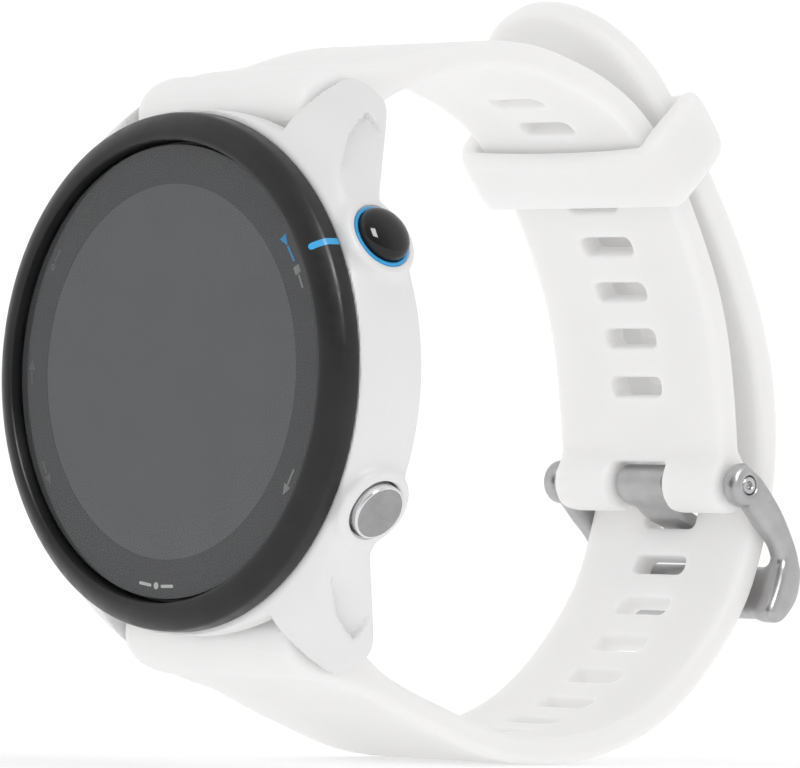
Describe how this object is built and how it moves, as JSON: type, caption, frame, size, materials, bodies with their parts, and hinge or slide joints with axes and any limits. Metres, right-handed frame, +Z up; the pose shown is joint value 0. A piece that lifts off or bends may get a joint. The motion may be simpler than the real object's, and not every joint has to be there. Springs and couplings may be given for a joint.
{
  "type": "gps running watch",
  "caption": "Round sports watch with a recessed display, side push buttons and a slotted silicone strap closed by a pin buckle and a keeper loop.",
  "frame": {"origin": "centre of the bounding box in plan, at the lowest point of the strap loop", "axes": "+Z up towards 12 o'clock, -Y out of the display, +Y towards the wrist, +X towards 3 o'clock"},
  "size_m": [0.0445, 0.0632, 0.0645],
  "materials": {
    "white_polymer": "satin moulded fibre-reinforced polymer",
    "white_silicone": "matt moulded silicone",
    "bezel_black": "satin black",
    "mask_ink": "matt printed ring",
    "back_polymer": "fine matt texture",
    "cover_glass": "polished",
    "sensor_window": "polished",
    "gloss_black": "polished dome",
    "blue_trim": "satin",
    "button_metal": "brushed face with a bright rim",
    "buckle_steel": "bead blasted",
    "steel": "plain machined",
    "gold": "plated",
    "dark_rubber": "matt",
    "display": "smooth",
    "diffuser": "satin",
    "chassis": "matt",
    "cell_foil": "foil",
    "circuit": "solder mask"
  },
  "bodies": {
    "case": {"case_body": "white_polymer", "bezel": "bezel_black", "cover_glass": "cover_glass", "glass_gasket": "dark_rubber", "mask_ring": "mask_ink", "display_panel": "display", "light_guide": "diffuser", "display_frame": "chassis", "gps_antenna": "gold", "battery": "cell_foil", "vibration_motor": "steel", "beeper": "chassis", "main_board": "circuit", "sensor_board": "circuit", "optical_sensor": "chassis", "back_gasket": "dark_rubber", "back_cover": "back_polymer", "sensor_window": "sensor_window", "back_screw_1": "steel", "back_screw_2": "steel", "back_screw_3": "steel", "back_screw_4": "steel", "charging_contact_1": "gold", "charging_contact_2": "gold", "charging_contact_3": "gold", "charging_contact_4": "gold", "start_seal": "dark_rubber", "start_switch": "chassis", "start_ring": "blue_trim", "back_seal": "dark_rubber", "back_switch": "chassis", "light_seal": "dark_rubber", "light_switch": "chassis", "up_seal": "dark_rubber", "up_switch": "chassis", "down_seal": "dark_rubber", "down_switch": "chassis", "upper_bar_sleeve": "steel", "lower_bar_sleeve": "steel", "long_strap": "white_silicone"},
    "start_button": {"start_button": "gloss_black"},
    "back_button": {"back_button": "button_metal"},
    "light_button": {"light_button": "button_metal"},
    "up_button": {"up_button": "button_metal"},
    "down_button": {"down_button": "button_metal"},
    "upper_bar_release": {"upper_bar_release": "steel"},
    "lower_bar_release": {"lower_bar_release": "steel"},
    "strap": {"short_strap": "white_silicone", "buckle_pin": "buckle_steel"},
    "keeper": {"keeper": "white_silicone"},
    "buckle_frame": {"buckle_frame": "buckle_steel"},
    "buckle_tongue": {"buckle_tongue": "buckle_steel"}
  },
  "joints": [
    {"name": "start_press", "type": "slide", "parent": "case", "child": "start_button", "axis": [-0.8712, 0, -0.4909], "range_m": [0, 0.0005], "stiffness_N_per_m": 700},
    {"name": "back_press", "type": "slide", "parent": "case", "child": "back_button", "axis": [-0.8763, 0, 0.4818], "range_m": [0, 0.0005], "stiffness_N_per_m": 700},
    {"name": "light_press", "type": "slide", "parent": "case", "child": "light_button", "axis": [0.866, 0, -0.5], "range_m": [0, 0.0005], "stiffness_N_per_m": 700},
    {"name": "up_press", "type": "slide", "parent": "case", "child": "up_button", "axis": [1, 0, 0], "range_m": [0, 0.0005], "stiffness_N_per_m": 700},
    {"name": "down_press", "type": "slide", "parent": "case", "child": "down_button", "axis": [0.866, 0, 0.5], "range_m": [0, 0.0005], "stiffness_N_per_m": 700},
    {"name": "strap_flex", "type": "hinge", "parent": "case", "child": "strap", "pos_m": [0.00053, -0.02265, 0.05282], "axis": [1, 0, 0], "range_deg": [-4, 4], "stiffness_Nm_per_rad": 0.5, "deforming": ["long_strap"]},
    {"name": "keeper_slide", "type": "slide", "parent": "strap", "child": "keeper", "axis": [0, 0.6157, -0.788], "range_m": [-0.001, 0.0025]},
    {"name": "buckle_swing", "type": "hinge", "parent": "strap", "child": "buckle_frame", "pos_m": [0.00053, 0.02495, 0.02372], "axis": [1, 0, 0], "range_deg": [-2, 3]},
    {"name": "tongue_swing", "type": "hinge", "parent": "strap", "child": "buckle_tongue", "pos_m": [0.00053, 0.02495, 0.02372], "axis": [1, 0, 0], "range_deg": [-2, 3]},
    {"name": "upper_bar_release_slide", "type": "slide", "parent": "case", "child": "upper_bar_release", "axis": [-1, 0, 0], "range_m": [0, 0.0014], "stiffness_N_per_m": 350},
    {"name": "lower_bar_release_slide", "type": "slide", "parent": "case", "child": "lower_bar_release", "axis": [-1, 0, 0], "range_m": [0, 0.0014], "stiffness_N_per_m": 350}
  ],
  "couplings": [
    {"joint": "tongue_swing", "follows": "buckle_swing", "ratio": 1}
  ]
}
